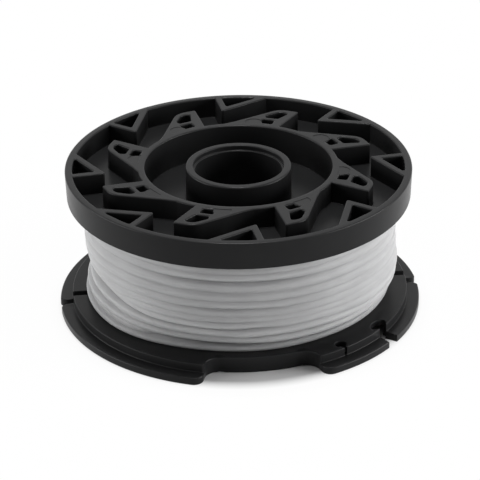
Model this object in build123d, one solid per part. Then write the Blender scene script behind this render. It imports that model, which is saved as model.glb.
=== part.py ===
from build123d import *
from math import cos, hypot, radians, sin, sqrt, tan
import os

# Line spool of a grass trimmer: one moulded spool and the cutting line wound on its drum.
# Millimetres. Z runs along the bore, and the origin is at the middle of the lower face.

# Heights, from the lower face up
brim_thickness = 1.85
brim_step = 2.1               # from the brim's top up to the lower disc's top
line_space = 24.45            # between the two flanges
rim_height = 6.45             # of the upper flange's rim
track_plate = 1.45            # floor under the toothed track
disc_plate = 1.5              # lower disc
bowl_depth = 7.9              # from the rim's top to the bowl's floor
bowl_plate = 1.5

# Upper flange, seen from above
rim_radius = 40.0
rim_wall = 1.7
rim_draft = 0.24              # the rim is this much narrower at its lower edge
rim_edge_bevel = 0.4
ring_radius = 21.65           # inside of the ring round the bowl
ring_wall = 1.6

# Hub and drum
hub_radius = 12.2
bore_radius = 10.05
bore_lead_radius = 10.5       # wider mouth of the bore
bore_lead_depth = 1.2
drum_radius = 31.5
drum_wall = 1.6

# Ratchet teeth on the rim: a short steep side, a long slanting side and a triangular pocket
tooth_count = 8
tooth_reach = 7.7             # from the rim's inner wall to the tip
tooth_tip_angle = 7.2
tooth_steep_angle = 8.3       # where the steep side meets the rim's inner wall
tooth_slant_angle = -10.4     # where the slanting side meets it
tooth_tip_rounding = 0.5
tooth_wall = 1.6

# Curved fins on the ring: places are an angle and a reach from the ring's outer wall
fin_root_angle = -24.8
fin_tip_angle, fin_tip_reach = -26.6, 9.45
fin_nose_angle, fin_nose_reach = -17.7, 9.3
fin_back_angle, fin_back_reach = 1.6, 1.1
fin_tail_angle = 15.5
fin_tip_rounding = 0.45
fin_nose_rounding = 4.2
fin_back_rounding = 7.0
fin_pocket_rounding = 0.45
outer_pocket_places = ((-14.2, 3.85), (-13.6, 5.1), (-19.2, 8.0), (-23.2, 7.6), (-20.6, 3.9))
inner_pocket_places = ((-13.4, 0.55), (-12.6, 2.85), (-19.5, 2.8), (-19.7, 0.55))

# Round ejector mark beside each inner pocket
ejector_mark_angle, ejector_mark_reach = -8.9, 0.6
ejector_mark_radius = 2.1
ejector_mark_depth = 0.2

# Lower flange: a disc, a step down and a brim, all cut away at two finger recesses
disc_overhang = 7.8           # from the drum to the disc's edge
skirt_wall = 1.5
brim_width = 2.95
flange_edge_bevel = 0.2
recess_angle = 277.6
recess_width = 39.0           # in degrees
recess_depth = 3.8            # from the disc's edge
brim_corner_rounding = 2.2
disc_corner_rounding = 0.6

# Line slots, keyholes and hooked notches in the lower flange, each made twice, half a turn apart
slot_angle = 6.3
slot_width = 1.7
slot_depth = 7.85             # from the brim's edge
slot_mouth_rounding = 1.5
keyhole_angle = 307.2
keyhole_inset = 1.9           # from the disc's edge to the keyhole's middle
keyhole_radius = 1.35
keyhole_slit = 0.7
notch_angle = 326.4
notch_width = 2.55            # of the mouth at the eye, which is wider and so makes the hook
notch_flare = 11.5            # in degrees: one side of the mouth opens outwards
notch_inset = 1.5             # from the disc's edge to the eye's middle
notch_eye_depth = 2.9
notch_eye_width = 4.9

# Wound line
line_diameter = 1.65
line_layers = 3
line_nesting = 1.5            # each further layer adds this much to the radius
winding_barrel = 0.4          # the end turns lie this much deeper
winding_groove = 0.55         # depth of the groove between turns
winding_clearance = 0.1       # to the drum and the upper flange
# Middles of the outer layer's turns, unevenly spaced, as shares of the way up from the lower disc
turn_places = (0.037, 0.146, 0.246, 0.335, 0.4, 0.468, 0.544, 0.628, 0.727, 0.823, 0.899, 0.965)

# On one side the lowest turns are drawn in, until the last one lies on the drum itself
drawn_in_height = 7.4         # from the disc up
drawn_in_angle = 277.0
drawn_in_breadth = 5.75       # by how much that side's curve is broader than the winding

# Levels and radii that follow
disc_top = brim_thickness + brim_step
disc_underside = disc_top - disc_plate
rim_underside = disc_top + line_space
rim_top = rim_underside + rim_height
track_floor = rim_underside + track_plate
bowl_floor = rim_top - bowl_depth
bowl_underside = bowl_floor - bowl_plate
rim_inner = rim_radius - rim_wall
ring_outer = ring_radius + ring_wall
drum_inner = drum_radius - drum_wall
disc_radius = drum_radius + disc_overhang
brim_radius = disc_radius + brim_width
recess_radius = disc_radius - recess_depth
recess_rounding = recess_depth - disc_corner_rounding
slot_inner_radius = brim_radius - slot_depth
keyhole_circle = disc_radius - keyhole_inset
notch_circle = disc_radius - notch_inset


def polar(radius, angle):
    return (radius * cos(radians(angle)), radius * sin(radians(angle)))


def from_ring(places):
    return [polar(ring_outer + reach, angle) for angle, reach in places]


def corners_at(sketch, radius):
    return [v for v in sketch.vertices() if abs(hypot(v.X, v.Y) - radius) < 1e-3]


def raised(sketch, low, high):
    return Pos(0, 0, low) * extrude(sketch, high - low)


def spun_section():
    """Hub, bowl, ring, track, rim and drum, turned about the bore from one section."""
    corners = [
        (bore_lead_radius, rim_top),
        (hub_radius, rim_top),
        (hub_radius, bowl_floor),
        (ring_radius, bowl_floor),
        (ring_radius, rim_top),
        (ring_outer, rim_top),
        (ring_outer, track_floor),
        (rim_inner, track_floor),
        (rim_inner, rim_top),
        (rim_radius, rim_top),
        (rim_radius - rim_draft, rim_underside),
        (drum_radius, rim_underside),
        (drum_radius, disc_underside),
        (drum_inner, disc_underside),
        (drum_inner, rim_underside),
        (ring_outer, rim_underside),
        (ring_outer, bowl_underside),
        (hub_radius, bowl_underside),
        (hub_radius, 0),
        (bore_radius, 0),
        (bore_radius, rim_top - bore_lead_depth),
        (bore_lead_radius, rim_top - bore_lead_depth),
    ]
    section = make_face(Polyline(corners, close=True))
    rim_corner = section.vertices().sort_by(Axis.X)[-1]
    section = chamfer(rim_corner, rim_edge_bevel)
    return revolve(Plane.XZ * section, Axis.Z)


def tooth_wedge():
    """Plan of one rim tooth, with its two sides run on through the rim."""
    tip = Vector(*polar(rim_inner - tooth_reach, tooth_tip_angle))
    steep, slant = (Vector(*polar(rim_inner, angle)) for angle in (tooth_steep_angle, tooth_slant_angle))
    wedge = make_face(Polyline(2 * steep - tip, tip, 2 * slant - tip, close=True))
    return fillet(corners_at(wedge, rim_inner - tooth_reach), tooth_tip_rounding)


def tooth_outline():
    return tooth_wedge() & Circle(rim_inner + rim_wall / 2)


def tooth_pocket():
    return offset(tooth_wedge(), -tooth_wall, kind=Kind.INTERSECTION) & Circle(rim_inner)


def fin_outline():
    """Plan of one fin, from its steep flank round its nose and down its long back to the ring."""
    rooted = ring_outer - ring_wall / 2
    tip = polar(ring_outer + fin_tip_reach, fin_tip_angle)
    nose = polar(ring_outer + fin_nose_reach, fin_nose_angle)
    back = polar(ring_outer + fin_back_reach, fin_back_angle)
    outline = make_face(
        Polyline(polar(rooted, fin_root_angle), tip, nose, back, polar(rooted, fin_tail_angle), close=True)
    )
    outline = fillet(corners_at(outline, ring_outer + fin_tip_reach), fin_tip_rounding)
    outline = fillet(corners_at(outline, ring_outer + fin_nose_reach), fin_nose_rounding)
    return fillet(corners_at(outline, ring_outer + fin_back_reach), fin_back_rounding)


def rounded_pocket(places):
    pocket = make_face(Polyline(from_ring(places), close=True))
    return fillet(pocket.vertices(), fin_pocket_rounding)


def ejector_mark():
    return Pos(*polar(ring_outer + ejector_mark_reach, ejector_mark_angle)) * Circle(ejector_mark_radius)


def toothed_track(body):
    """Adds the teeth and fins to the turned body, then opens their pockets."""
    around = PolarLocations(0, tooth_count)
    teeth = [raised(place * tooth_outline(), track_floor, rim_top) for place in around]
    fins = [raised(place * fin_outline(), track_floor, rim_top) for place in around]
    bowl = raised(Circle(ring_radius), bowl_floor, rim_top) - raised(Circle(hub_radius), bowl_floor, rim_top)
    body = body + (Part() + teeth + fins - bowl)
    inner_pocket = rounded_pocket(inner_pocket_places) - ejector_mark()
    pockets = [tooth_pocket(), rounded_pocket(outer_pocket_places), inner_pocket]
    cuts = [raised(place * pocket, track_floor, rim_top) for place in around for pocket in pockets]
    mark = ejector_mark() - Circle(ring_outer)
    marks = [raised(place * mark, rim_top - ejector_mark_depth, rim_top) for place in around]
    return body - cuts - marks


def recess_outline(margin):
    """Plan of one finger recess about the X axis, open outwards; the margin widens and deepens it."""
    half = radians(recess_width / 2)
    floor_radius = recess_radius - margin
    floor_reach = sqrt(floor_radius ** 2 - margin ** 2)
    outside = brim_radius + recess_rounding

    def on_side(reach, sign):
        return (reach * cos(half) - margin * sin(half), sign * (reach * sin(half) + margin * cos(half)))

    first, last = on_side(floor_reach, -1), on_side(floor_reach, 1)
    floor = ThreePointArc(first, (floor_radius, 0), last)
    sides = Polyline(last, on_side(outside, 1), (2 * outside, 0), on_side(outside, -1), first)
    outline = make_face(floor + sides)
    return fillet(corners_at(outline, floor_radius), recess_rounding + margin)


def recessed_circle(radius, recess_margin=0):
    outline = Circle(radius)
    for angle in (recess_angle, recess_angle + 180):
        outline -= Rot(0, 0, angle) * recess_outline(recess_margin)
    return outline


def lobed_circle(radius, corner_rounding):
    """Circle cut away at both recesses, with rounded corners there."""
    outline = recessed_circle(radius)
    return fillet(corners_at(outline, radius), corner_rounding)


def notch_cut():
    """Plan of one hooked notch: an oval eye, and a mouth with one straight side and one slanting side."""
    mouth_end = brim_radius + notch_width
    side = notch_width / 2
    far_side = side + (mouth_end - notch_circle) * tan(radians(notch_flare))
    corners = [(notch_circle, side), (notch_circle, -side), (mouth_end, -far_side), (mouth_end, side)]
    mouth = make_face(Polyline(corners, close=True))
    eye = Pos(notch_circle, 0) * Ellipse(notch_eye_depth / 2, notch_eye_width / 2)
    return Rot(0, 0, notch_angle) * (mouth + eye)


def keyhole_cut():
    slit_end = disc_radius + keyhole_slit
    slit = Pos((keyhole_circle + slit_end) / 2, 0) * Rectangle(slit_end - keyhole_circle, keyhole_slit)
    return Rot(0, 0, keyhole_angle) * (Pos(keyhole_circle, 0) * Circle(keyhole_radius) + slit)


def slot_cut():
    """Plan of one line slot, with both corners rounded at its mouth."""
    slot_end = brim_radius + slot_width
    cut = Pos((slot_inner_radius + slot_end) / 2, 0) * Rectangle(slot_end - slot_inner_radius, slot_width)
    cut += Pos(slot_inner_radius, 0) * Circle(slot_width / 2)
    for sign in (1, -1):
        side = sign * slot_width / 2
        corner = Pos(brim_radius, side) * Rectangle(2 * slot_mouth_rounding, 2 * slot_mouth_rounding)
        round_place = (brim_radius - slot_mouth_rounding, side + sign * slot_mouth_rounding)
        cut += corner - Pos(*round_place) * Circle(slot_mouth_rounding)
    return Rot(0, 0, slot_angle) * cut


def bevelled_plate(outline, height):
    """Plate from the lower face up, with its edges bevelled."""
    plate = raised(outline, 0, height)
    return chamfer(plate.faces().filter_by(Axis.Z).edges(), flange_edge_bevel)


def lower_flange():
    """Stepped flange: disc, hanging skirt and brim, with its slots, keyholes and notches."""
    disc = lobed_circle(disc_radius, disc_corner_rounding)
    brim = lobed_circle(brim_radius, brim_corner_rounding)
    flange = bevelled_plate(disc, disc_top) + bevelled_plate(brim, brim_thickness)
    flange -= raised(recessed_circle(disc_radius - skirt_wall, skirt_wall), 0, disc_underside)
    flange -= raised(Circle(drum_inner), 0, disc_top)
    for turn in (0, 180):
        flange -= Rot(0, 0, turn) * raised(notch_cut(), 0, disc_top)
        flange -= Rot(0, 0, turn) * raised(slot_cut(), 0, disc_top)
        flange -= Rot(0, 0, turn) * raised(keyhole_cut(), brim_thickness, disc_top)
    return flange


def spool_body():
    return toothed_track(spun_section()) + lower_flange()


def line_winding():
    """The outer layer's turns as one ring with a groove between neighbours, drawn in low down on one side."""
    low, high = disc_top, rim_underside - winding_clearance
    inner = drum_radius + winding_clearance
    crest = inner + line_diameter + (line_layers - 1) * line_nesting

    def surface(height, depth):
        away = (2 * height - low - high) / (high - low)
        return (crest - winding_barrel * away ** 2 - depth * winding_groove, height)

    middles = [low + place * (high - low) for place in turn_places]
    grooves = [low] + [(lower + upper) / 2 for lower, upper in zip(middles, middles[1:])]
    outside = []
    for groove, middle in zip(grooves, middles):
        outside += [surface(groove, 1), surface(middle, 0)]
    section = make_face(Polyline(*outside, surface(high, 1), (inner, high), (inner, low), close=True))
    turns = revolve(Plane.XZ * section, Axis.Z)

    standing = (Align.CENTER, Align.CENTER, Align.MIN)
    broad = crest + drawn_in_breadth
    shift = broad - inner - line_diameter
    kept = Pos(*polar(-shift, drawn_in_angle)) * Cone(broad, crest + shift, drawn_in_height, align=standing)
    trimmed = Cylinder(2 * crest, drawn_in_height, align=standing) - kept
    return turns - Pos(0, 0, low) * trimmed


os.makedirs("parts", exist_ok=True)
for name, piece in (("spool_body", spool_body()), ("line_winding", line_winding())):
    export_step(piece, f"parts/{name}.step")
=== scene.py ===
from math import acos, atan2, ceil, cos, hypot, pi, radians, sin, sqrt, tan

import bmesh
import bpy
import numpy as np
from mathutils import Matrix, Vector
from mathutils.geometry import delaunay_2d_cdt


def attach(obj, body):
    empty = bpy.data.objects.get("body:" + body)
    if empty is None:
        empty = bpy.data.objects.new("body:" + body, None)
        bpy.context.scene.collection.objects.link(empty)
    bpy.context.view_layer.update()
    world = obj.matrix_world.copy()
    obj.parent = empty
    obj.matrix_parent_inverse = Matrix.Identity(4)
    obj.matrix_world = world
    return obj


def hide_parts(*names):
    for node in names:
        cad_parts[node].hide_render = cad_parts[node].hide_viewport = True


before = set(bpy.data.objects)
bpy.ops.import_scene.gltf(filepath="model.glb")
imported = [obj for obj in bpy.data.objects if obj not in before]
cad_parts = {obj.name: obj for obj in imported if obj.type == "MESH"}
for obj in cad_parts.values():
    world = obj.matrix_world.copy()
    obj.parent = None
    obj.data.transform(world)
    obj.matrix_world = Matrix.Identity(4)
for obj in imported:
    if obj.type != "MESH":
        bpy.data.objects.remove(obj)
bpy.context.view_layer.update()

MM = 0.001

# Sizes of the spool in millimetres: the part's own, with slots, pocket corners and marks fitted more closely
brim_thickness = 1.85
disc_top = brim_thickness + 2.1
disc_underside = disc_top - 1.5
rim_underside = disc_top + 24.45
rim_top = rim_underside + 6.45
track_floor = rim_underside + 1.45
bowl_floor = rim_top - 7.9
bowl_underside = bowl_floor - 1.5
rim_radius = 40.0
rim_inner = rim_radius - 1.7
rim_draft = 0.24
ring_radius = 21.65
ring_outer = ring_radius + 1.6
hub_radius = 12.2
bore_radius = 10.05
bore_lead_radius = 10.5
bore_lead_depth = 1.2
drum_radius = 31.5
drum_inner = drum_radius - 1.6

tooth_count = 8
tooth_reach = 7.7
tooth_tip_angle = 7.2
tooth_steep_angle = 8.3
tooth_slant_angle = -10.4
tooth_tip_rounding = 0.5
tooth_wall = 1.6
tooth_pocket_rounding = 0.35

fin_root_angle = -24.8
fin_tip = (-26.6, 9.45)
fin_nose = (-17.7, 9.3)
fin_back = (1.6, 1.1)
fin_tail_angle = 15.5
fin_roundings = (0.45, 4.2, 7.0)
fin_root_depth = 0.8          # how far a fin's plan runs on into the ring
fin_pocket_rounding = 0.45
outer_pocket_places = ((-14.2, 3.85), (-13.6, 5.1), (-19.2, 8.0), (-23.2, 7.6), (-20.6, 3.9))
outer_pocket_roundings = (fin_pocket_rounding, 1.2, 2.1, 0.6, fin_pocket_rounding)
inner_pocket_places = ((-13.4, 0.55), (-12.6, 2.85), (-19.5, 2.8), (-19.7, 0.55))
inner_pocket_roundings = (fin_pocket_rounding,) * len(inner_pocket_places)
ejector_mark = (-8.9, 0.6)
ejector_mark_radius = 2.1
ejector_mark_depth = 0.1
ejector_mark_overlap = 0.4    # how far a mark's plan runs on into the ring

disc_radius = 39.3
skirt_wall = 1.5
brim_radius = disc_radius + 2.95
recess_angle = 277.6
recess_width = 39.0
recess_radius = disc_radius - 3.8
recess_rounding = 3.2
brim_corner_rounding = 2.2
disc_corner_rounding = 0.6
slot_angle = 6.3
slot_width = 1.95
slot_inner_radius = brim_radius - 7.85
slot_mouth_rounding = 1.7
keyhole_angle = 307.2
keyhole_circle = disc_radius - 1.9
keyhole_radius = 1.35
keyhole_slit = 0.7
notch_angle = 326.4
notch_width = 2.55
notch_flare = 11.5
notch_circle = disc_radius - 1.5
notch_eye = (2.9, 4.9)

# Rounded edges of the moulding
rim_rounding = 0.32
rim_lower_rounding = 0.15
edge_rounding = 0.28
foot_rounding = 0.12          # where an upright wall meets a floor
mark_rounding = 0.06
hub_rounding = 0.4
bore_lead_rounding = 0.25
bore_ledge_rounding = 0.15
bore_end_rounding = 0.25
hollow_rounding = 0.3
drum_top_bevel = 0.3
brim_rounding = 0.3
flange_edge_rounding = 0.16
flange_foot_rounding = 0.16
flange_cut_rounding = 0.15    # along slots, notches and keyholes

AROUND = 240                  # points on each full circle
ARC_STEP = 3.0                # most degrees between points on an arc about the axis
CORNER_STEP = radians(11)     # most turn between points on a rounded corner
OPEN = np.nan                 # level outside the plan, where another surface carries on
VOID = -1e6                   # level with no material
FREE_DROP = 100               # a drop larger than this goes down to no material
FOOTED_DROP = 1               # a wall higher than this has a rounded foot
PAST_EDGE = 3                 # how far cuts run out past the brim


def polar(radius, angle):
    return np.array((radius * cos(radians(angle)), radius * sin(radians(angle))))


def turned(points, angle):
    c, s = cos(radians(angle)), sin(radians(angle))
    return np.asarray(points, float) @ np.array(((c, s), (-s, c)))


def circle(radius, count=AROUND, centre=(0, 0)):
    return np.array([polar(radius, 360 * k / count) for k in range(count)]) + np.asarray(centre, float)


def arc(radius, first, last):
    """Points on a circle about the axis, both ends included."""
    count = max(1, ceil(abs(last - first) / ARC_STEP))
    return [polar(radius, first + (last - first) * k / count) for k in range(count + 1)]


def rounded(points, radii):
    """Closed outline with its corners rounded; a radius of 0 keeps a corner."""
    out = []
    for i, (p, r) in enumerate(zip(points, radii)):
        p = np.asarray(p, float)
        if r <= 0:
            out.append(p)
            continue
        u = np.asarray(points[i - 1], float) - p
        v = np.asarray(points[(i + 1) % len(points)], float) - p
        u, v = u / np.linalg.norm(u), v / np.linalg.norm(v)
        half = acos(max(-1.0, min(1.0, float(u @ v)))) / 2
        middle = p + (u + v) / np.linalg.norm(u + v) * r / sin(half)
        first, last = p + u * r / tan(half) - middle, p + v * r / tan(half) - middle
        begin = atan2(first[1], first[0])
        sweep = (atan2(last[1], last[0]) - begin + pi) % (2 * pi) - pi
        steps = max(2, ceil(abs(sweep) / CORNER_STEP))
        out += [middle + r * np.array((cos(begin + sweep * k / steps), sin(begin + sweep * k / steps)))
                for k in range(steps + 1)]
    return np.array(out)


def inside(outline, points):
    """Which points lie within a closed outline."""
    x, y = points[:, 0], points[:, 1]
    hit = np.zeros(len(points), bool)
    for (x0, y0), (x1, y1) in zip(outline, np.roll(outline, -1, axis=0)):
        if y0 == y1:
            continue
        crosses = (y0 > y) != (y1 > y)
        hit ^= crosses & (x < (x1 - x0) * (y - y0) / (y1 - y0) + x0)
    return hit


def in_any(outlines, points):
    hit = np.zeros(len(points), bool)
    for outline in outlines:
        hit |= inside(outline, points)
    return hit


def distance(points, segments):
    """Least distance of each point to a set of segments."""
    best = np.full(len(points), np.inf)
    for a, b in segments:
        d = b - a
        t = np.clip(((points - a) @ d) / (d @ d), 0, 1)
        best = np.minimum(best, np.linalg.norm(points - a - t[:, None] * d, axis=1))
    return best


# A plan cut into regions, each at its own height, with walls between that have rounded edges and feet

ROUND_STEPS = (0.134, 0.5, 1.0)      # a quarter round in three facets
SUPPORT = 0.06                       # narrow flat strip that keeps the faces beside a rounding flat
SAME_PLACE = 1e-5                    # points of a plan nearer than this are one
LEAST_AREA = 1e-9                    # thinner triangles are dropped
LEAST_LENGTH = 1e-9                  # stands in for the length between two equal points
SHARPEST = 0.3                       # corners sharper than this carry no rounding row
MOST_SPREAD = 0.5                    # keeps a row from running far out at a sharp corner
CLEARANCE = 0.93                     # share of its distance that a row's point must keep from every wall


def triangulate(loops, points=(), chains=()):
    places, edges = [], []
    for loop in loops:
        start = len(places)
        places += [Vector(p) for p in loop]
        edges += [(start + k, start + (k + 1) % len(loop)) for k in range(len(loop))]
    start = len(places)
    places += [Vector(p) for p in points]
    edges += [(start + a, start + b) for a, b in chains]
    verts, _, faces, *_ = delaunay_2d_cdt(places, edges, [], 0, SAME_PLACE, False)
    verts = np.array([tuple(v) for v in verts])
    faces = np.array([f for f in faces if len(f) == 3])
    a, b, c = (verts[faces[:, k]] for k in range(3))
    area = (b[:, 0] - a[:, 0]) * (c[:, 1] - a[:, 1]) - (b[:, 1] - a[:, 1]) * (c[:, 0] - a[:, 0])
    faces[area < 0] = faces[area < 0][:, ::-1]
    return verts, faces[np.abs(area) > LEAST_AREA]


def steps_between(verts, faces, levels, radius_of, foot):
    """Edges where a higher region meets a lower one, with the high side on the left.

    Each is (start, end, high face, low face, upper edge's rounding, foot's rounding).
    """
    owner = {}
    for index, face in enumerate(faces):
        for k in range(3):
            owner[(face[k], face[(k + 1) % 3])] = index
    found = []
    for (a, b), high in owner.items():
        low = owner.get((b, a))
        if low is None or not levels[high] > levels[low]:
            continue
        found.append((a, b, high, low))
    lows = np.array([f[3] for f in found])
    middles = verts[faces[lows]].mean(axis=1)
    drops = np.array([levels[f[2]] - levels[f[3]] for f in found])
    feet = np.where((drops > FOOTED_DROP) & (drops < FREE_DROP), foot, 0.0)
    return [f + pair for f, pair in zip(found, zip(radius_of(middles, drops), feet))]


# The two rounded places of a wall: where a step keeps its face and radius, and the side of the wall
UPPER_EDGE = (2, 4, 1)
FOOT = (3, 5, -1)


def levels_rounded(levels, steps, place):
    """Each level with the steps that round it at that place."""
    face_at, radius_at, _ = place
    rounded_steps = [s for s in steps if s[radius_at] > 0]
    for level in sorted({levels[s[face_at]] for s in rounded_steps}):
        yield level, [s for s in rounded_steps if levels[s[face_at]] == level]


def edge_rows(verts, levels, steps):
    """Points and chains that carry the rounding along the upper edges and the feet of the walls."""
    points, chains = [], []
    for place in (UPPER_EDGE, FOOT):
        _, radius_at, side = place
        for _, mine in levels_rounded(levels, steps, place):
            leaves, enters = {}, {}
            for s in mine:
                leaves.setdefault(s[0], []).append(s)
                enters.setdefault(s[1], []).append(s)
            segments = [(verts[s[0]], verts[s[1]]) for s in mine]
            largest = max(s[radius_at] for s in mine)
            for share in ROUND_STEPS + (1.0 + SUPPORT / largest,):
                moved = {}
                for v, out in leaves.items():
                    if len(out) != 1 or len(enters.get(v, ())) != 1:
                        continue
                    before, after = enters[v][0], out[0]
                    normals = []
                    for s in (before, after):
                        d = verts[s[1]] - verts[s[0]]
                        normals.append(side * np.array((-d[1], d[0])) / np.linalg.norm(d))
                    m = normals[0] + normals[1]
                    size = np.linalg.norm(m)
                    if size < SHARPEST:
                        continue
                    m = m / size
                    reach = share * max(before[radius_at], after[radius_at])
                    moved[v] = (verts[v] + m * reach / max(MOST_SPREAD, float(m @ normals[0])), reach)
                if not moved:
                    continue
                keys = list(moved)
                spots = np.array([moved[v][0] for v in keys])
                far = distance(spots, segments) > CLEARANCE * np.array([moved[v][1] for v in keys])
                index = {}
                for v, spot, ok in zip(keys, spots, far):
                    if ok:
                        index[v] = len(points)
                        points.append(spot)
                chains += [(index[s[0]], index[s[1]]) for s in mine if s[0] in index and s[1] in index]
    return points, chains


def bend(near, radius):
    """How far a quarter round stands off the flat, at a distance from its wall."""
    near = np.minimum(near, radius)
    return radius - np.sqrt(np.maximum(0, radius ** 2 - (radius - near) ** 2))


def softened_heights(verts, faces, levels, steps):
    """Height of each (vertex, level), lowered near the upper edges and raised near the feet to round them."""
    heights = {}
    for level in sorted({v for v in levels if not np.isnan(v) and v > VOID}):
        for v in np.unique(faces[levels == level]):
            heights[(v, level)] = level
    for place in (UPPER_EDGE, FOOT):
        _, radius_at, side = place
        for level, mine in levels_rounded(levels, steps, place):
            used = np.unique(faces[levels == level])
            most = np.zeros(len(used))
            for radius in {s[radius_at] for s in mine}:
                walls = [(verts[s[0]], verts[s[1]]) for s in mine if s[radius_at] == radius]
                most = np.maximum(most, bend(distance(verts[used], walls), radius))
            for v, off in zip(used, most):
                heights[(v, level)] -= side * off
    return heights


class Shell:
    """Gathers faces in millimetres and makes one mesh object of them."""

    digits = 4                # places in millimetres are kept to this many
    same_place = 3e-6         # metres

    def __init__(self):
        self.places, self.faces, self.known = [], [], {}

    def vertex(self, x, y, z):
        key = tuple(round(c, self.digits) for c in (x, y, z))
        if key not in self.known:
            self.known[key] = len(self.places)
            self.places.append(key)
        return self.known[key]

    def face(self, *corners):
        ids = []
        for c in corners:
            i = self.vertex(*c)
            if i not in ids:
                ids.append(i)
        if len(ids) > 2:
            self.faces.append(ids)

    def spin(self, profile):
        """Turns an open profile of (radius, height) about the axis."""
        rings = [[(x, y, z) for x, y in circle(r)] for r, z in profile]
        for low, high in zip(rings, rings[1:]):
            for k in range(AROUND):
                j = (k + 1) % AROUND
                self.face(low[k], low[j], high[j], high[k])

    def build(self, name, sharp):
        """The mesh object, smooth but for edges that turn by more than sharp degrees."""
        mesh = bpy.data.meshes.new(name)
        mesh.from_pydata([tuple(c * MM for c in p) for p in self.places], [], self.faces)
        bm = bmesh.new()
        bm.from_mesh(mesh)
        bmesh.ops.remove_doubles(bm, verts=bm.verts, dist=self.same_place)
        bmesh.ops.recalc_face_normals(bm, faces=bm.faces)
        bm.to_mesh(mesh)
        bm.free()
        mesh.polygons.foreach_set("use_smooth", [True] * len(mesh.polygons))
        mesh.set_sharp_from_angle(angle=radians(sharp))
        obj = bpy.data.objects.new(name, mesh)
        bpy.context.scene.collection.objects.link(obj)
        return obj


def quarter(corner, start, end, radius, steps=4):
    """Rounds a right-angled corner of a profile, from the side towards start to the side towards end."""
    corner = np.asarray(corner, float)
    u = np.asarray(start, float) - corner
    v = np.asarray(end, float) - corner
    u, v = u / np.linalg.norm(u), v / np.linalg.norm(v)
    middle = corner + (u + v) * radius
    return [tuple(middle - v * radius * cos(t) - u * radius * sin(t))
            for t in (pi / 2 * k / steps for k in range(steps + 1))]


def towards(start, end):
    d = np.asarray(end, float) - np.asarray(start, float)
    return d / max(np.linalg.norm(d), LEAST_LENGTH)


def softened(corners):
    """Open profile of right-angled corners (radius, height, rounding), with flat strips by the roundings."""
    places = [corner[:2] for corner in corners]
    out = [places[0]]
    for i in range(1, len(corners) - 1):
        curve = quarter(places[i], places[i - 1], places[i + 1], corners[i][2])
        before = np.array(curve[0]) + towards(curve[0], places[i - 1]) * SUPPORT
        after = np.array(curve[-1]) + towards(curve[-1], places[i + 1]) * SUPPORT
        out += [tuple(before)] + curve + [tuple(after)]
    return out + [places[-1]]


def add_walls(shell, verts, walls):
    """Upright walls between regions (start, end, lower ends, upper ends), with a strip along both edges."""
    split, columns = [], {}
    for a, b, lows, tops in walls:
        room = min(tops[0] - lows[0], tops[1] - lows[1])
        strip = min(SUPPORT, room / 4)
        cuts = [lows, [z + strip for z in lows], [z - strip for z in tops], tops]
        split.append((a, b, cuts))
        for v, k in ((a, 0), (b, 1)):
            columns.setdefault(v, set()).update(round(c[k], shell.digits) for c in cuts)
    apart = 1e-3
    for a, b, cuts in split:
        for low, high in zip(cuts, cuts[1:]):
            up_b = [z for z in sorted(columns[b]) if low[1] + apart < z < high[1] - apart]
            down_a = [z for z in sorted(columns[a], reverse=True) if low[0] + apart < z < high[0] - apart]
            shell.face((*verts[a], low[0]), (*verts[b], low[1]), *((*verts[b], z) for z in up_b),
                       (*verts[b], high[1]), (*verts[a], high[0]), *((*verts[a], z) for z in down_a))


# Toothed track of the upper flange

def tooth_plan():
    tip = polar(rim_inner - tooth_reach, tooth_tip_angle)
    steep, slant = polar(rim_inner, tooth_steep_angle), polar(rim_inner, tooth_slant_angle)
    into_rim = 1.08
    outer = [tip + (p - tip) * into_rim for p in (slant, steep)]
    return rounded([tip] + outer, (tooth_tip_rounding, 0, 0))


def line_to_circle(start, direction, radius):
    b = float(start @ direction)
    return start + direction * (-b + sqrt(b * b - float(start @ start) + radius ** 2))


def tooth_pocket_plan():
    tip = polar(rim_inner - tooth_reach, tooth_tip_angle)
    sides = [towards(tip, polar(rim_inner, angle)) for angle in (tooth_steep_angle, tooth_slant_angle)]
    half = acos(float(sides[0] @ sides[1])) / 2
    inner_tip = tip + (sides[0] + sides[1]) / np.linalg.norm(sides[0] + sides[1]) * tooth_wall / sin(half)
    steep, slant = (line_to_circle(inner_tip, s, rim_inner) for s in sides)
    first, last = (np.degrees(atan2(p[1], p[0])) for p in (slant, steep))
    parts, corner = 4, tooth_pocket_rounding
    wall = [polar(rim_inner, first + (last - first) * k / parts) for k in range(parts + 1)]
    return rounded([inner_tip] + wall, [corner, corner] + [0] * (parts - 1) + [corner])


def from_ring(places):
    """Points given by their angle and their distance from the ring's outside."""
    return [polar(ring_outer + reach, angle) for angle, reach in places]


def fin_plan():
    base = arc(ring_outer - fin_root_depth, fin_tail_angle, fin_root_angle)
    tops = from_ring((fin_tip, fin_nose, fin_back))
    return rounded(base + tops, [0] * len(base) + list(fin_roundings))


def spread(outline):
    return [turned(outline, 360 * k / tooth_count) for k in range(tooth_count)]


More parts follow.
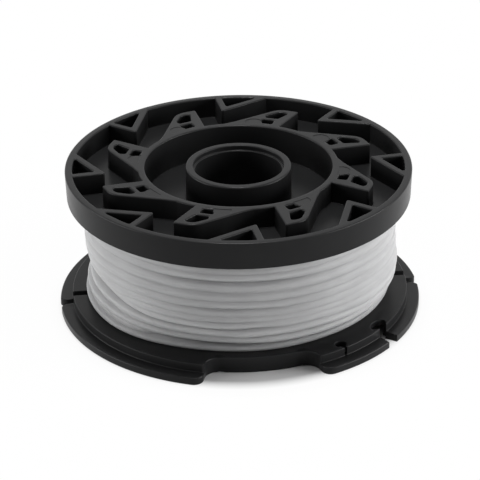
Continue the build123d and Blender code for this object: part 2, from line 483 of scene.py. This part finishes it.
def toothed_track(shell):
    fins, teeth = spread(fin_plan()), spread(tooth_plan())
    pockets = spread(tooth_pocket_plan())
    for places, roundings in (
        (outer_pocket_places, outer_pocket_roundings), (inner_pocket_places, inner_pocket_roundings),
    ):
        pockets += spread(rounded(from_ring(places), roundings))
    mark_points, mark_start = 36, 10
    centre = from_ring((ejector_mark,))[0]
    mark = np.roll(circle(ejector_mark_radius, mark_points, centre), mark_start, axis=0)
    marks = spread([p for p in mark if hypot(*p) > ring_outer - ejector_mark_overlap])
    first, last = ring_radius + edge_rounding, rim_radius - rim_rounding
    loops = [circle(r) for r in (first, ring_outer, rim_inner, last)] + fins + teeth + pockets + marks

    def level(points):
        r = np.hypot(points[:, 0], points[:, 1])
        marked = in_any(marks, points) & (r > ring_outer)
        open_pocket = in_any(pockets, points) & ~marked
        full = in_any(fins, points) | in_any(teeth, points) | (r < ring_outer) | (r > rim_inner)
        z = np.where(full, rim_top, track_floor)
        z[marked & full] = rim_top - ejector_mark_depth
        z[open_pocket] = track_floor
        z[(r < first * cos(pi / AROUND)) | (r > last)] = OPEN
        return z

    def radius_of(middles, drops):
        return np.where(drops < FOOTED_DROP, mark_rounding, edge_rounding)

    verts, faces = triangulate(loops)
    levels = level(verts[faces].mean(axis=1))
    steps = steps_between(verts, faces, levels, radius_of, foot_rounding)
    verts, faces = triangulate(loops, *edge_rows(verts, levels, steps))
    levels = level(verts[faces].mean(axis=1))
    steps = steps_between(verts, faces, levels, radius_of, foot_rounding)
    heights = softened_heights(verts, faces, levels, steps)
    for face, z in zip(faces, levels):
        if not np.isnan(z):
            shell.face(*((*verts[v], heights[(v, z)]) for v in face))
    add_walls(shell, verts, [
        (a, b, *([heights[(v, levels[side])] for v in (a, b)] for side in (low, high)))
        for a, b, high, low, *_ in steps
    ])


# Turned surfaces: bore, bowl, rim, drum and the hollow under them

def turned_surfaces(shell):
    ledge = rim_top - bore_lead_depth
    shell.spin(softened((
        (ring_radius + edge_rounding, rim_top, 0),
        (ring_radius, rim_top, edge_rounding),
        (ring_radius, bowl_floor, foot_rounding),
        (hub_radius, bowl_floor, foot_rounding),
        (hub_radius, rim_top, hub_rounding),
        (bore_lead_radius, rim_top, bore_lead_rounding),
        (bore_lead_radius, ledge, bore_ledge_rounding),
        (bore_radius, ledge, bore_ledge_rounding),
        (bore_radius, 0, bore_end_rounding),
        (hub_radius, 0, hollow_rounding),
        (hub_radius, bowl_underside, hollow_rounding),
        (ring_outer, bowl_underside, hollow_rounding),
        (ring_outer, rim_underside, hollow_rounding),
        (drum_inner, rim_underside, hollow_rounding),
        (drum_inner, disc_underside, 0),
    )))
    lower = rim_radius - rim_draft
    strip_draft = 0.005           # what the draft takes off at the strips beside the roundings
    rim = [(rim_radius - rim_rounding, rim_top)]
    rim += quarter((rim_radius, rim_top), (0, rim_top), (rim_radius, 0), rim_rounding)[1:]
    rim += [
        (rim_radius - strip_draft, rim_top - rim_rounding - SUPPORT),
        (lower + strip_draft, rim_underside + rim_lower_rounding + SUPPORT),
    ]
    rim += quarter((lower, rim_underside), (lower, rim_top), (0, rim_underside), rim_lower_rounding)
    rim += [
        (lower - rim_lower_rounding - SUPPORT, rim_underside),
        (drum_radius + drum_top_bevel, rim_underside),
        (drum_radius, rim_underside - drum_top_bevel),
        (drum_radius, disc_top),
    ]
    shell.spin(rim)


# Lower flange

def recess_plan(margin=0.0):
    """Finger recess about the X axis, open outwards and grown by a margin."""
    half = recess_width / 2
    floor_radius = recess_radius - margin

    def side(reach, sign):
        along, across = polar(1, half), np.array((-sin(radians(half)), cos(radians(half))))
        p = along * sqrt(reach ** 2 - margin ** 2) + across * margin
        return p * np.array((1, sign))

    outside = brim_radius + recess_rounding
    first = side(floor_radius, -1)
    edge = np.degrees(atan2(-first[1], first[0]))
    count = 12
    floor = [polar(floor_radius, -edge + 2 * edge * k / count) for k in range(count + 1)]
    corners = floor + [side(outside, 1), np.array((2 * outside, 0.0)), side(outside, -1)]
    radii = [recess_rounding + margin] + [0] * (count - 1) + [recess_rounding + margin] + [0, 0, 0]
    return rounded(corners, radii)


def both_sides(outline, angle):
    return [turned(outline, angle), turned(outline, angle + 180)]


def lobe_ends(radius, corner):
    """Offcuts that round a circle's two corners at the mouth of a recess about the X axis."""
    cuts, facets = [], 8
    past_rim, past_mouth = 1.05, 1.08
    half = radians(recess_width / 2)
    for sign in (1, -1):
        inner = radius - corner
        away = half + np.arcsin(corner / inner)
        middle = np.array((inner * cos(away), sign * inner * sin(away)))
        on_rim = np.array((radius * cos(away), sign * radius * sin(away)))
        on_side = middle - np.array((-sin(half), sign * cos(half))) * corner
        begin = atan2(*(on_side - middle)[::-1])
        sweep = (atan2(*(on_rim - middle)[::-1]) - begin + pi) % (2 * pi) - pi
        turns = [begin + sweep * k / facets for k in range(facets + 1)]
        curve = [middle + corner * np.array((cos(t), sin(t))) for t in turns]
        beyond = [on_rim * past_rim, polar(radius * past_mouth, sign * recess_width / 2)]
        cuts.append(np.array(curve + beyond))
    return cuts


def notch_plans():
    """Hooked notch: an oval eye, and a mouth with one straight side and one slanting side."""
    depth, width = notch_eye
    eye_points = 40
    eye = circle(1 / 2, eye_points) * (depth, width) + (notch_circle, 0)
    end, side = brim_radius + PAST_EDGE, notch_width / 2
    far_side = side + (end - notch_circle) * tan(radians(notch_flare))
    mouth = [(notch_circle, side), (notch_circle, -side), (end, -far_side), (end, side)]
    return both_sides(eye, notch_angle) + both_sides(mouth, notch_angle)


def keyhole_plans():
    hole_points, past_disc = 32, 0.5
    half, end = keyhole_slit / 2, disc_radius + past_disc
    hole = circle(keyhole_radius, hole_points, (keyhole_circle, 0))
    slit = [(keyhole_circle, half), (keyhole_circle, -half), (end, -half), (end, half)]
    return both_sides(hole, keyhole_angle) + both_sides(slit, keyhole_angle)


def slot_plans():
    """Line slot with a round inner end and both corners rounded at its mouth."""
    half, corner = slot_width / 2, slot_mouth_rounding
    end_points, corner_points = 13, 9
    inner_end = [np.array((slot_inner_radius, 0)) + polar(half, a) for a in np.linspace(90, 270, end_points)]
    corners = [[np.array((brim_radius - corner, sign * (half + corner))) + polar(corner, a)
                for a in np.linspace(0, -sign * 90, corner_points)] for sign in (1, -1)]
    end = brim_radius + PAST_EDGE
    outside = [(end, -half - corner), (end, half + corner)]
    return both_sides(corners[0] + inner_end + corners[1][::-1] + outside, slot_angle)


def lower_flange(shell):
    recesses = both_sides(recess_plan(), recess_angle)
    hollow_recesses = both_sides(recess_plan(skirt_wall), recess_angle)
    disc_cuts, brim_cuts = (
        [c for cut in lobe_ends(radius, corner) for c in both_sides(cut, recess_angle)]
        for radius, corner in ((disc_radius, disc_corner_rounding), (brim_radius, brim_corner_rounding))
    )
    through, keyholes = notch_plans() + slot_plans(), keyhole_plans()
    loops = [circle(r) for r in (drum_inner, drum_radius, disc_radius, brim_radius, disc_radius - skirt_wall)]
    loops += recesses + hollow_recesses + disc_cuts + brim_cuts + through + keyholes
    surround, surround_points = 5, 36
    loops.append(circle(brim_radius + surround, surround_points))

    def plan(points):
        """Radius of points, and which lie on the brim, the disc and the hollow, keyholes taken out."""
        r = np.hypot(points[:, 0], points[:, 1])
        brim = (r < brim_radius) & ~in_any(brim_cuts + recesses + through, points)
        disc = (r < disc_radius) & brim & ~in_any(disc_cuts, points)
        hollow = (r < disc_radius - skirt_wall) & ~in_any(hollow_recesses, points)
        in_keyhole = disc & in_any(keyholes, points)
        return r, brim & ~(in_keyhole & hollow), disc & ~in_keyhole, hollow

    def top_level(points):
        r, brim, disc, _ = plan(points)
        z = np.where(disc, disc_top, np.where(brim, brim_thickness, VOID))
        z[r < drum_radius * cos(pi / AROUND)] = OPEN
        return z

    def bottom_level(points):
        """Depth below the lower face, so that lower counts as higher here."""
        r, brim, _, hollow = plan(points)
        z = np.where(brim, np.where(hollow, -disc_underside, 0.0), VOID)
        z[r < drum_inner * cos(pi / AROUND)] = OPEN
        return z

    def radius_of(middles, drops):
        fine = in_any(through + keyholes, middles)
        plain = np.where(drops > FREE_DROP, brim_rounding, flange_edge_rounding)
        return np.where(fine, flange_cut_rounding, plain)

    verts, faces = triangulate(loops)
    centres = verts[faces].mean(axis=1)
    rows, chains = [], []
    for levels in (top_level(centres), bottom_level(centres)):
        steps = steps_between(verts, faces, levels, radius_of, flange_foot_rounding)
        points, links = edge_rows(verts, levels, steps)
        chains += [(a + len(rows), b + len(rows)) for a, b in links]
        rows += points
    verts, faces = triangulate(loops, rows, chains)
    centres = verts[faces].mean(axis=1)
    tops, bottoms = top_level(centres), bottom_level(centres)
    top_steps = steps_between(verts, faces, tops, radius_of, flange_foot_rounding)
    bottom_steps = steps_between(verts, faces, bottoms, radius_of, flange_foot_rounding)
    top_heights = softened_heights(verts, faces, tops, top_steps)
    bottom_heights = softened_heights(verts, faces, bottoms, bottom_steps)
    for face, z in zip(faces, tops):
        if not np.isnan(z) and z > VOID:
            shell.face(*((*verts[v], top_heights[(v, z)]) for v in face))
    for face, z in zip(faces, bottoms):
        if not np.isnan(z) and z > VOID:
            shell.face(*((*verts[v], -bottom_heights[(v, z)]) for v in face[::-1]))
    walls = []
    for a, b, high, low, *_ in top_steps:
        if tops[low] == VOID:
            feet = [-bottom_heights[(v, bottoms[high])] for v in (a, b)]
        else:
            feet = [top_heights[(v, tops[low])] for v in (a, b)]
        walls.append((a, b, feet, [top_heights[(v, tops[high])] for v in (a, b)]))
    for a, b, high, low, *_ in bottom_steps:
        if bottoms[low] > VOID:
            ends = [[-bottom_heights[(v, bottoms[side])] for v in (a, b)] for side in (high, low)]
            walls.append((a, b, *ends))
    add_walls(shell, verts, walls)


moulding_shell = Shell()
toothed_track(moulding_shell)
turned_surfaces(moulding_shell)
lower_flange(moulding_shell)
moulding = moulding_shell.build("spool_moulding", sharp=40)


# Wound line: the turns that show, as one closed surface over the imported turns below

line_radius = 0.825
winding_low = disc_top + 0.01
winding_high = rim_underside - 0.1
winding_inside = drum_radius + 0.05
winding_crest = 36.25
winding_barrel = 0.4          # the end turns lie this much deeper
off_centre = 0.25             # the whole winding leans this far to the right
gap_depth = 0.34              # the layer below shows this deep between turns that stand apart
turn_reach = 1.4              # height to either side that a turn covers
turn_end_slope = 3            # how steeply a turn's surface falls away beyond that
round_share = 0.8             # share of the line's radius up to which a turn's section is round
tuck_depth = 1.6              # how far the first and last turn's ends go down among the others
blend = 0.05                  # how softly turns run into one another
winding_columns, winding_rows = 300, 212

# Middles of the outer turns, as shares of the way up from the lower disc
turn_places = (0.037, 0.158, 0.246, 0.335, 0.4, 0.468, 0.544, 0.628, 0.727, 0.823, 0.899, 0.965)

# Where turns part and show more of the layer below: turn under the gap, first and last angle, depth
open_gaps = (
    (0, 228, 318, 1.5), (1, 274, 352, 0.9), (2, 196, 286, 1.5), (3, 250, 286, 0.6),
    (4, 220, 245, 1.2), (5, 246, 292, 0.5), (8, 238, 296, 0.8),
)
gap_end = 14                          # degrees in which a gap opens and closes
climb_start, climb_end = 55, 125      # angles between which each turn climbs to the next one, at the back

# At the front the lowest turns are drawn in, until the last one lies on the drum: angle and how far in
drawn_in = (
    (216, 0.0), (226, 0.1), (236, 1.0), (246, 1.85), (260, 2.45), (280, 2.55), (300, 3.05), (312, 2.8),
    (325, 2.35), (340, 1.85), (352, 1.25), (370, 0.5), (390, 0.0),
)
drawn_in_shifts = (-10, -5, 0, 5, 10)         # angles over which that is evened out
drawn_in_front, drawn_in_side = 11.2, 9.0     # height where it begins, at the front and right of it
front_end, front_fade = 285, 30               # angle where the front ends, and degrees in which it fades
drawn_in_low = 4.9                            # height where it is full
drawn_in_power = 0.8

# The left side by height: a waist between two slack bands
left_side = (
    (3.9, 0.44), (6.8, 0.25), (9.05, -0.7), (10.7, -1.35), (12.4, -2.2), (13.7, -1.5),
    (15.3, -0.5), (17.2, -0.12), (20, 0.0),
)
bulge_height, bulge_size, bulge_reach = 11.6, 0.45, 2.4
lift_height, lift_size, lift_reach = 11.0, 0.7, 1.6
calm_sides, calm_front = 0.8, 0.55            # how much flatter turns lie high up
calm_start, calm_rise = 9, 4                  # height where that begins, and in which it comes to full

# Parts of the round: angle where each begins, degrees until it is full, angle where it ends, degrees to fade
left_part = (90, 60, 240, 36)
bulge_part = (300, 30, 55, 30)
lift_part = (266, 14, 322, 24)
calm_left_part = (150, 40, 262, 40)
calm_right_part = (286, 34, 30, 30)
calm_front_part = (215, 30, 330, 30)

# Drift of the line: size of each wave, waves per radian and what the seed counts in it
drift_waves = ((0.5, 0.63, 1.0), (0.3, 1.71, 2.1), (0.2, 3.13, 0.7))
height_drift = (1.0, 0.12)                    # seed, and size in millimetres
crest_drift = (4.0, 0.06)


def smooth(x):
    x = np.clip(x, 0, 1)
    return x * x * (3 - 2 * x)


def within(angle, part):
    """Share of a part of the round at an angle; a part that ends below its beginning runs over angle 0."""
    first, rise, last, fade = part
    begun, ending = smooth((angle - first) / rise), smooth((last - angle) / fade)
    if last < first:
        return begun + ending
    return begun * ending


def wander(angle, seed, size):
    """Slow, uneven drift of a hand-wound line."""
    a = np.radians(angle)
    return size * sum(share * np.sin(pace * a + count * seed) for share, pace, count in drift_waves)


def drawn_in_by(angle, height):
    """How far a low turn lies in at the front."""
    onward = np.where(angle < 90, angle + 360, angle)
    begin = drawn_in_side + (drawn_in_front - drawn_in_side) * smooth((front_end - onward) / front_fade)
    share = np.clip((begin - height) / (begin - drawn_in_low), 0, 1)
    shifted = [np.interp(onward + shift, *zip(*drawn_in)) for shift in drawn_in_shifts]
    return sum(shifted) / len(shifted) * share ** drawn_in_power


def crest_radius(angle, height):
    """Radius of a turn's outermost line."""
    away = (2 * height - winding_low - winding_high) / (winding_high - winding_low)
    bulge = bulge_size * np.exp(-((height - bulge_height) / bulge_reach) ** 2) * within(angle, bulge_part)
    shape = winding_crest - winding_barrel * away ** 2 + bulge + off_centre * np.cos(np.radians(angle))
    left = np.interp(height, *zip(*left_side)) * within(angle, left_part)
    return shape + left - drawn_in_by(angle, height)


def relief(angle, height):
    """How far turns stand out: they lie tighter and smoother high up, most of all on both sides."""
    sides = within(angle, calm_left_part) + within(angle, calm_right_part)
    most = np.maximum(calm_sides * sides, calm_front * within(angle, calm_front_part))
    return 1 - most * smooth((height - calm_start) / calm_rise)


def turn_section(distance_off):
    """How far a round turn's surface falls below its crest, run on straight where it would turn under."""
    round_end = round_share * line_radius
    steepness = round_end / sqrt(line_radius ** 2 - round_end ** 2)
    near = np.minimum(distance_off, round_end)
    fall = line_radius - np.sqrt(line_radius ** 2 - near ** 2)
    return fall + steepness * np.maximum(0, distance_off - round_end)


def turn_lines(angle):
    """Height, crest radius and relief below and above: each turn that shows, then the layer between."""
    middles = [winding_low + place * (winding_high - winding_low) for place in turn_places]
    climb = smooth((angle - climb_start) / (climb_end - climb_start))
    lift = lift_size * within(angle, lift_part)
    starts, ends = [middles[0]] + middles, middles + [middles[-1]]
    opened, depth = np.zeros((2, len(ends) + 1, len(angle)))
    for turn, first, last, most in open_gaps:
        opened[turn] = within(angle, (first, gap_end, last, gap_end))
        depth[turn] = (most - gap_depth) * opened[turn]
    lines = []
    for k, (start, end) in enumerate(zip(starts, ends)):
        run = angle + 360 * k
        height = start + (end - start) * climb + wander(run, *height_drift)
        height = height + lift * np.exp(-((height - lift_height) / lift_reach) ** 2)
        tucked = np.zeros(len(angle))
        if k == 0:
            tucked = 1 - climb
        elif k == len(ends) - 1:
            tucked = climb
        crest = crest_radius(angle, height) + wander(run, *crest_drift) - tuck_depth * tucked
        calm = relief(angle, height)
        lines.append((height, crest, *(gap + (1 - gap) * calm for gap in (opened[k - 1], opened[k]))))
    for k in range(len(lines) - 1):
        (height, crest, _, above), (next_height, next_crest, _, _) = lines[k], lines[k + 1]
        below_crest = np.minimum(crest, next_crest) - gap_depth - depth[k]
        lines.append(((height + next_height) / 2, below_crest, above, above))
    return lines


def wound_line():
    angle = np.arange(winding_columns) * 360 / winding_columns
    height = np.linspace(winding_low, winding_high, winding_rows)
    total = np.zeros((winding_columns, winding_rows))
    for line in turn_lines(angle):
        middle, crest, below, above = (values[:, None] for values in line)
        off = height[None, :] - middle
        surface = crest - np.where(off < 0, below, above) * turn_section(np.abs(off))
        surface -= turn_end_slope * np.maximum(0, np.abs(off) - turn_reach)
        total += np.exp((surface - winding_crest) / blend)
    radius = winding_crest + blend * np.log(total)
    inside_ring = np.full((winding_columns, 1), winding_inside)
    profile_radius = np.hstack((inside_ring, radius, inside_ring))
    profile_height = np.concatenate(([height[0]], height, [height[-1]]))
    turn = np.radians(angle)[:, None]
    places = np.stack((profile_radius * np.cos(turn), profile_radius * np.sin(turn),
                       np.broadcast_to(profile_height, profile_radius.shape)), axis=-1)
    shell = Shell()
    around = winding_rows + 2
    for here, there in zip(places, np.roll(places, -1, axis=0)):
        for j in range(around):
            i = (j + 1) % around
            shell.face(here[j], there[j], there[i], here[i])
    return shell.build("wound_line", sharp=70)


winding = wound_line()


# Materials

def new_material(name):
    material = bpy.data.materials.new(name)
    material.use_nodes = True
    nodes, links = material.node_tree.nodes, material.node_tree.links
    return material, nodes, links, nodes["Principled BSDF"]


def noise(nodes, links, coords, scale, detail, roughness):
    node = nodes.new("ShaderNodeTexNoise")
    node.inputs["Scale"].default_value = scale
    node.inputs["Detail"].default_value = detail
    node.inputs["Roughness"].default_value = roughness
    links.new(coords, node.inputs["Vector"])
    return node


def ramp(nodes, links, source, stops):
    node = nodes.new("ShaderNodeValToRGB")
    for k, (place, colour) in enumerate(stops):
        stop = node.color_ramp.elements[k] if k < 2 else node.color_ramp.elements.new(place)
        stop.position = place
        stop.color = (*colour, 1)
    links.new(source, node.inputs["Fac"])
    return node


def between(nodes, links, source, low, high, start=0.0, end=1.0):
    node = nodes.new("ShaderNodeMapRange")
    node.inputs["From Min"].default_value = start
    node.inputs["From Max"].default_value = end
    node.inputs["To Min"].default_value = low
    node.inputs["To Max"].default_value = high
    links.new(source, node.inputs["Value"])
    return node.outputs["Result"]


def bump(nodes, links, height, strength, depth, normal=None):
    node = nodes.new("ShaderNodeBump")
    node.inputs["Strength"].default_value = strength
    node.inputs["Distance"].default_value = depth
    links.new(height, node.inputs["Height"])
    if normal is not None:
        links.new(normal, node.inputs["Normal"])
    return node.outputs["Normal"]


def black_moulding():
    """Satin black nylon: fine spark grain, faint flow clouds and handling rub."""
    material, nodes, links, shader = new_material("black_moulding")
    place = nodes.new("ShaderNodeTexCoord").outputs["Object"]
    clouds = noise(nodes, links, place, scale=55, detail=4, roughness=0.55)
    grain = noise(nodes, links, place, scale=2600, detail=2, roughness=0.5)
    rub = noise(nodes, links, place, scale=240, detail=5, roughness=0.6)
    deep, worn = (0.0105, 0.0106, 0.0109), (0.0143, 0.0144, 0.0148)
    colour = ramp(nodes, links, clouds.outputs["Fac"], ((0.3, deep), (0.7, worn)))
    links.new(colour.outputs["Color"], shader.inputs["Base Color"])
    links.new(between(nodes, links, rub.outputs["Fac"], low=0.24, high=0.38), shader.inputs["Roughness"])
    shader.inputs["Specular IOR Level"].default_value = 0.105
    normal = bump(nodes, links, grain.outputs["Fac"], strength=0.12, depth=0.00005)
    normal = bump(nodes, links, rub.outputs["Fac"], strength=0.06, depth=0.0001, normal=normal)
    links.new(normal, shader.inputs["Normal"])
    return material


def clear_line():
    """Milky nylon line: light goes well in, streaks run along the turns, and the colour darkens towards the
    drum and the lower disc, partly the black drum seen through thin line and partly painted shade.
    """
    material, nodes, links, shader = new_material("clear_line")
    place = nodes.new("ShaderNodeTexCoord").outputs["Object"]
    clouds = noise(nodes, links, place, scale=90, detail=3, roughness=0.5)
    along = nodes.new("ShaderNodeMapping")
    along.inputs["Scale"].default_value = (60, 60, 1500)
    links.new(place, along.inputs["Vector"])
    streaks = noise(nodes, links, along.outputs["Vector"], scale=1, detail=3, roughness=0.55)
    flat = nodes.new("ShaderNodeVectorMath")
    flat.operation = "MULTIPLY"
    flat.inputs[1].default_value = (1, 1, 0)
    links.new(place, flat.inputs[0])
    reach = nodes.new("ShaderNodeVectorMath")
    reach.operation = "LENGTH"
    links.new(flat.outputs["Vector"], reach.inputs[0])
    height = nodes.new("ShaderNodeSeparateXYZ")
    links.new(place, height.inputs["Vector"])
    # The last two parts are painted shade, in part also the black drum seen through thin line: the line is
    # darker nearer the drum (deep gaps between turns, drawn-in turns) and towards the lower disc, where turns
    # and disc keep light off.
    parts = [
        between(nodes, links, source, low=0.0, high=most, start=start, end=end)
        for source, start, end, most in (
            (clouds.outputs["Fac"], 0.3, 0.7, 0.12),
            (streaks.outputs["Fac"], 0.3, 0.7, 0.12),
            (reach.outputs["Value"], 0.0317, 0.0337, 0.5),
            (height.outputs["Z"], 0.004, 0.012, 0.26),
        )
    ]
    share = parts[0]
    for part in parts[1:]:
        total = nodes.new("ShaderNodeMath")
        links.new(share, total.inputs[0])
        links.new(part, total.inputs[1])
        share = total.outputs["Value"]
    # The ramp runs from a painted-shade colour, which also stands for the drum seen through thin line, to the
    # line's full colour.
    thin_and_shaded, full = (0.126, 0.127, 0.13), (0.405, 0.406, 0.41)
    colour = ramp(nodes, links, share, ((0.1, thin_and_shaded), (1.0, full)))
    links.new(colour.outputs["Color"], shader.inputs["Base Color"])
    links.new(between(nodes, links, streaks.outputs["Fac"], low=0.34, high=0.5), shader.inputs["Roughness"])
    shader.inputs["Subsurface Weight"].default_value = 1.0
    shader.inputs["Subsurface Radius"].default_value = (1.0, 1.0, 1.0)
    shader.inputs["Subsurface Scale"].default_value = 0.006
    shader.inputs["IOR"].default_value = 1.5
    shader.inputs["Specular IOR Level"].default_value = 0.12
    normal = bump(nodes, links, streaks.outputs["Fac"], strength=0.15, depth=0.00008)
    links.new(normal, shader.inputs["Normal"])
    return material


for piece, node, slot, material in (
    (moulding, "spool_body", "spool_plastic", black_moulding()),
    (winding, "line_winding", "cutting_line", clear_line()),
):
    piece.data.materials.append(material)
    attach(piece, "root")
    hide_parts(node)


# Studio: pale floor, soft lamps from both sides and above, white background

def seen(nodes, links):
    """1 for rays from the camera and for those that reflection or glass sends on."""
    path = nodes.new("ShaderNodeLightPath")
    total = path.outputs["Is Camera Ray"]
    for name in ("Is Glossy Ray", "Is Transmission Ray"):
        node = nodes.new("ShaderNodeMath")
        node.operation = "MAXIMUM"
        links.new(total, node.inputs[0])
        links.new(path.outputs[name], node.inputs[1])
        total = node.outputs["Value"]
    return total


def studio_floor():
    """Pale paper that the camera sees as white, apart from a soft shadow and the dark under the spool."""
    mesh = bpy.data.meshes.new("floor")
    half = 3.0
    corners = [(x * half, y * half, 0) for x, y in ((-1, -1), (1, -1), (1, 1), (-1, 1))]
    mesh.from_pydata(corners, [], [(0, 1, 2, 3)])
    floor = bpy.data.objects.new("floor", mesh)
    bpy.context.scene.collection.objects.link(floor)
    material = bpy.data.materials.new("floor_paper")
    material.use_nodes = True
    nodes, links = material.node_tree.nodes, material.node_tree.links
    nodes.clear()
    paper = nodes.new("ShaderNodeBsdfDiffuse")
    pale, nearly_white = 0.7, 0.93
    paper.inputs["Color"].default_value = (pale, pale, pale, 1)
    white = nodes.new("ShaderNodeEmission")
    reach = nodes.new("ShaderNodeVectorMath")
    reach.operation = "LENGTH"
    links.new(nodes.new("ShaderNodeTexCoord").outputs["Object"], reach.inputs[0])
    under_spool, beside_spool, clear_of_spool = 0.0392, 0.0412, 0.11
    whiteness = ramp(nodes, links, reach.outputs["Value"], (
        (under_spool, (0, 0, 0)), (beside_spool, (nearly_white,) * 3), (clear_of_spool, (1, 1, 1)),
    ))
    share = nodes.new("ShaderNodeMath")
    share.operation = "MULTIPLY"
    links.new(whiteness.outputs["Color"], share.inputs[0])
    links.new(seen(nodes, links), share.inputs[1])
    mix = nodes.new("ShaderNodeMixShader")
    links.new(share.outputs["Value"], mix.inputs["Fac"])
    links.new(paper.outputs["BSDF"], mix.inputs[1])
    links.new(white.outputs["Emission"], mix.inputs[2])
    out = nodes.new("ShaderNodeOutputMaterial")
    links.new(mix.outputs["Shader"], out.inputs["Surface"])
    mesh.materials.append(material)


def studio_world():
    world = bpy.data.worlds.new("studio")
    bpy.context.scene.world = world
    world.use_nodes = True
    nodes, links = world.node_tree.nodes, world.node_tree.links
    background = nodes["Background"]
    background.inputs["Color"].default_value = (1, 1, 1, 1)
    fill, white = 0.12, 1.0
    links.new(between(nodes, links, seen(nodes, links), low=fill, high=white), background.inputs["Strength"])


def lamp(name, place, aim, size, power):
    data = bpy.data.lights.new(name, "AREA")
    data.shape = "RECTANGLE"
    data.size, data.size_y = size
    data.energy = power
    obj = bpy.data.objects.new(name, data)
    obj.location = place
    obj.rotation_euler = (Vector(aim) - Vector(place)).to_track_quat("-Z", "Y").to_euler()
    bpy.context.scene.collection.objects.link(obj)


def camera():
    """The photograph's view, found by fitting the spool's circles to it."""
    elevation, roll, away = radians(27.057), radians(-0.6357), 0.591017
    aim = Vector((0.000176, 0, 0.015336))
    sensor, picture_width, focal_length = 36, 480, 2526.453       # the last two in the picture's pixels
    data = bpy.data.cameras.new("camera")
    data.sensor_width = sensor
    data.lens = sensor * focal_length / picture_width
    data.clip_start = 0.01
    obj = bpy.data.objects.new("camera", data)
    back = Vector((0, -cos(elevation), sin(elevation)))
    turn = back.to_track_quat("Z", "Y").to_matrix().to_4x4() @ Matrix.Rotation(roll, 4, "Z")
    obj.matrix_world = Matrix.Translation(aim + back * away) @ turn
    bpy.context.scene.collection.objects.link(obj)
    bpy.context.scene.camera = obj


studio_floor()
studio_world()
middle = (0, 0, 0.02)
lamp("left", place=(-0.62, -0.06, 0.15), aim=middle, size=(0.5, 0.28), power=3.1)
lamp("right", place=(0.61, -0.1, 0.15), aim=middle, size=(0.5, 0.28), power=4.6)
lamp("top", place=(0, 0.03, 0.75), aim=middle, size=(0.16, 0.16), power=5.2)
camera()
bpy.context.scene.view_settings.view_transform = "Standard"
